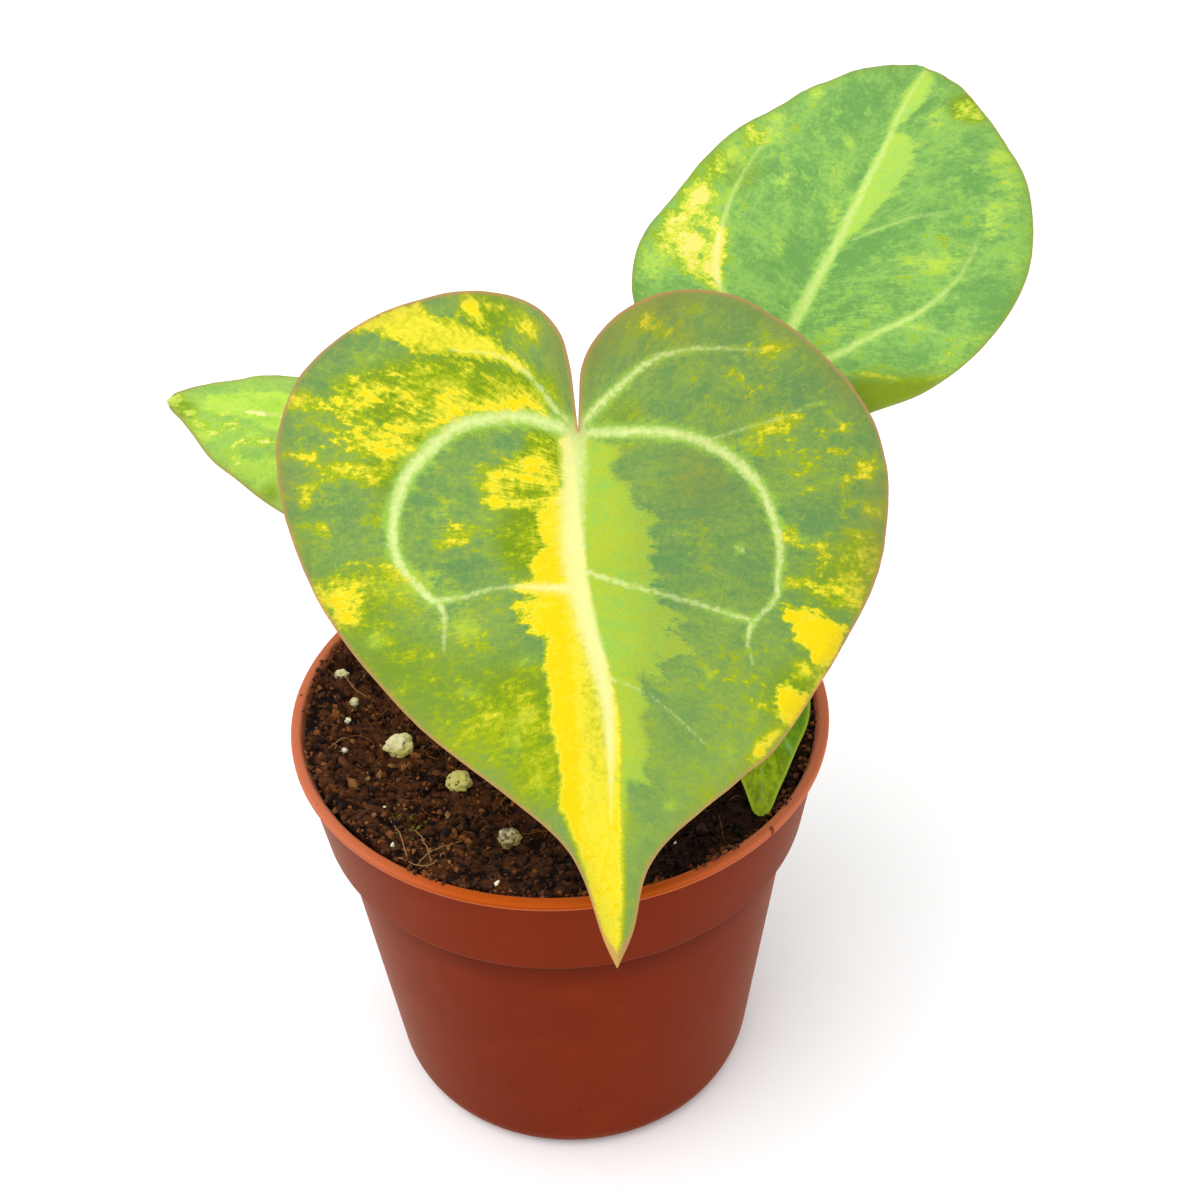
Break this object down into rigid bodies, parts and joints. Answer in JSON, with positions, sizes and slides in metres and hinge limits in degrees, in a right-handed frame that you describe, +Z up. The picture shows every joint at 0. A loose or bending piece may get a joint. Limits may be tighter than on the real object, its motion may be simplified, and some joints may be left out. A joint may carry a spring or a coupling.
{
  "type": "potted anthurium",
  "caption": "Young anthurium with variegated heart-shaped leaves on slim stalks, rooted in substrate in a small round terracotta-coloured plastic nursery pot",
  "frame": {"origin": "middle of the flat underside of the pot", "axes": "+Z up out of the pot, -Y towards the front leaf's tip, +X towards the back leaf's side"},
  "size_m": [0.0928, 0.0795, 0.108],
  "materials": {
    "pot_plastic": "satin",
    "substrate": "matte",
    "perlite": "matte",
    "stem": "matte",
    "leaf": "satin",
    "stalk": "satin",
    "dry_sheath": "matte"
  },
  "bodies": {
    "root": {"pot": "pot_plastic", "soil": "substrate", "stem_and_roots": "stem", "perlite_01": "perlite", "perlite_02": "perlite", "perlite_03": "perlite", "perlite_04": "perlite", "perlite_05": "perlite", "perlite_06": "perlite", "perlite_07": "perlite", "perlite_08": "perlite", "perlite_09": "perlite", "perlite_10": "perlite", "perlite_11": "perlite", "leaf_front": "leaf", "stalk_front": "stalk", "leaf_back": "leaf", "stalk_back": "stalk", "leaf_left": "leaf", "stalk_left": "stalk", "leaf_small": "leaf", "stalk_small": "stalk", "sheath_front": "dry_sheath", "sheath_back": "dry_sheath"}
  },
  "joints": []
}
